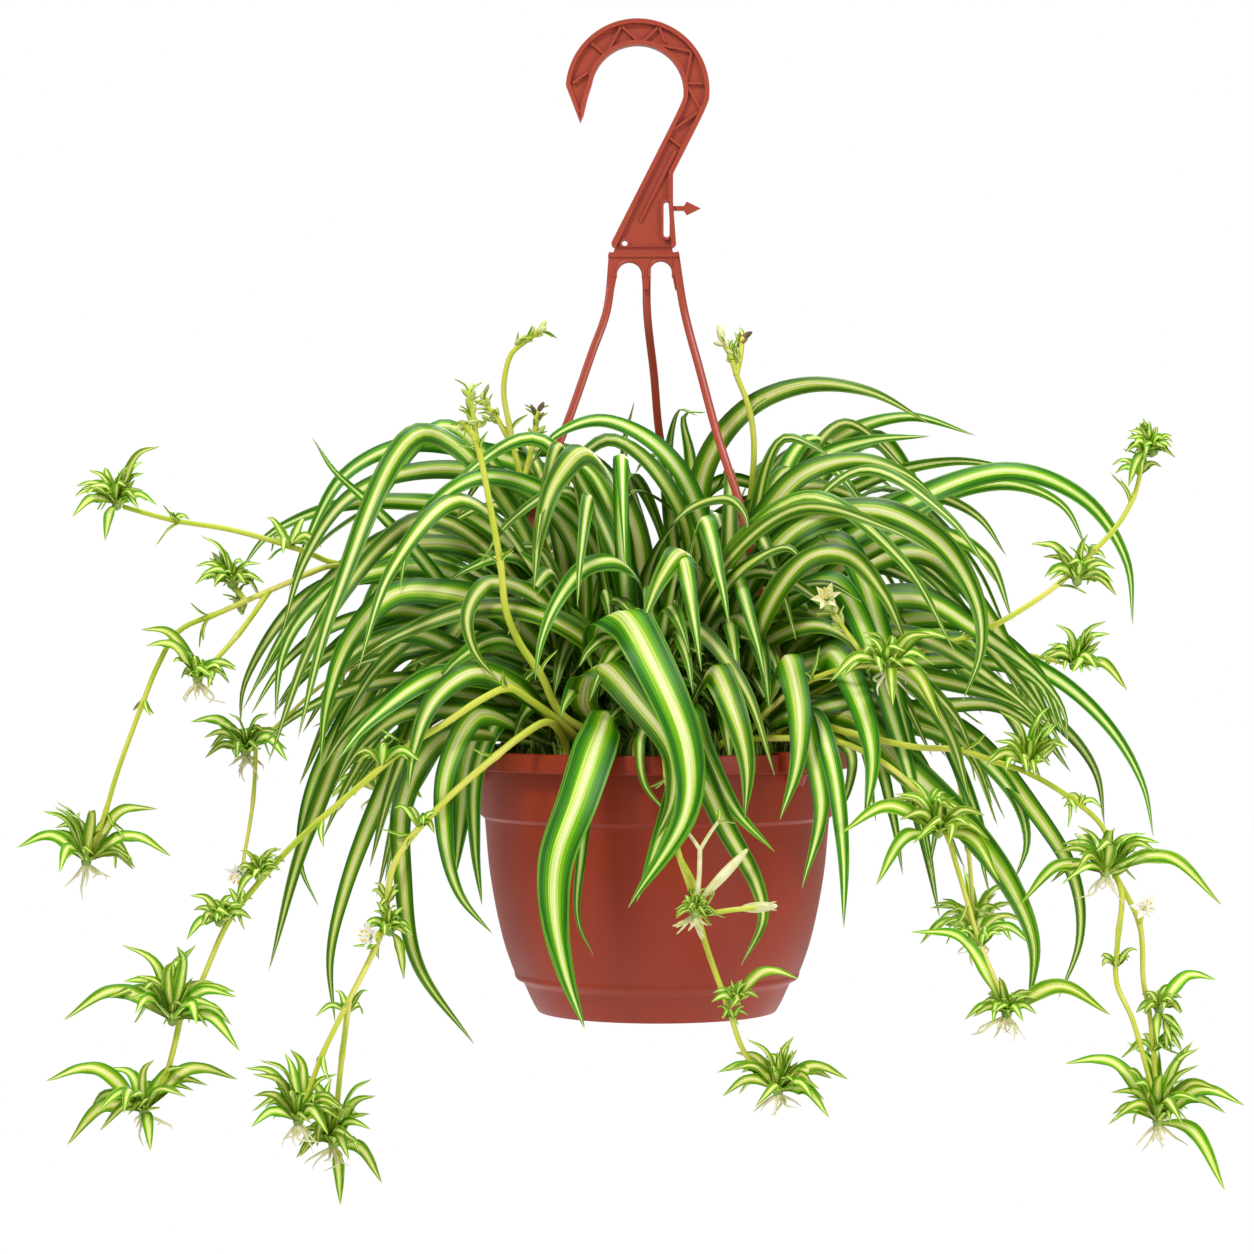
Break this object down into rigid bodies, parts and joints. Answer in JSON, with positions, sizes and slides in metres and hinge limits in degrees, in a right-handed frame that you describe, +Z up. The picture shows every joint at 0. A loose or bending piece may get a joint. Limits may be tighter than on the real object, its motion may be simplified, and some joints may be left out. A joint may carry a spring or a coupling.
{
  "type": "potted spider plant",
  "caption": "Variegated spider plant with runners, plantlets and small white flowers in a hanging plastic pot with a ribbed hook.",
  "frame": {"origin": "bearing point of the hook: the top of its inner arc, where it hangs on a rod or a wall hook", "axes": "+Z up, +X to the right in the front view, so that the front of the plant faces -Y"},
  "size_m": [0.6554, 0.3911, 0.6458],
  "materials": {
    "plastic": "brick-red polypropylene with a soft sheen",
    "soil": "dark, crumbly potting soil",
    "leaf": "smooth leaf, green at the margins with a cream stripe along the middle",
    "plantlet": "smooth young leaf, green with pale edges, and cream root tips",
    "stem": "smooth, pale yellow-green stem",
    "flower": "thin white petals"
  },
  "bodies": {
    "root": {"pot": "plastic", "soil": "soil", "hanger": "plastic", "runner_left_high": "stem", "runner_left_mid": "stem", "runner_left_long": "stem", "runner_left_front": "stem", "runner_front": "stem", "runner_right_high": "stem", "runner_right_flower": "stem", "runner_right_low": "stem", "runner_right_mid": "stem", "runner_right_back": "stem", "runner_back_left": "stem", "runner_back": "stem", "runner_back_right": "stem", "stalk_left": "stem", "stalk_mid": "stem", "stalk_right": "stem", "flower_left_middle": "flower", "flower_left_front": "flower", "flower_front": "flower", "flower_right_front": "flower", "flower_right_low": "flower", "plantlet_left_high_end": "plantlet", "plantlet_left_high_middle": "plantlet", "plantlet_left_high_low": "plantlet", "plantlet_left_high_tail": "plantlet", "plantlet_left_middle": "plantlet", "plantlet_left_long_upper": "plantlet", "plantlet_left_long_lower": "plantlet", "plantlet_left_long_end": "plantlet", "plantlet_left_long_tail": "plantlet", "plantlet_left_front_upper": "plantlet", "plantlet_left_front_end": "plantlet", "plantlet_left_front_tail": "plantlet", "plantlet_front_bracts": "plantlet", "plantlet_front_tuft": "plantlet", "plantlet_front_end": "plantlet", "plantlet_right_high_middle": "plantlet", "plantlet_right_high_end": "plantlet", "plantlet_right_front": "plantlet", "plantlet_right_low_upper": "plantlet", "plantlet_right_low_end": "plantlet", "plantlet_right_low_tuft": "plantlet", "plantlet_right_low_tail": "plantlet", "plantlet_right_back": "plantlet", "plantlet_right_mid": "plantlet", "plantlet_right_mid_end": "plantlet", "plantlet_back_left": "plantlet", "plantlet_back_middle": "plantlet", "plantlet_back_right": "plantlet", "crown_1": "leaf", "crown_2": "leaf", "crown_3": "leaf", "crown_4": "leaf", "crown_5": "leaf", "crown_6": "leaf", "crown_7": "leaf"}
  },
  "joints": []
}
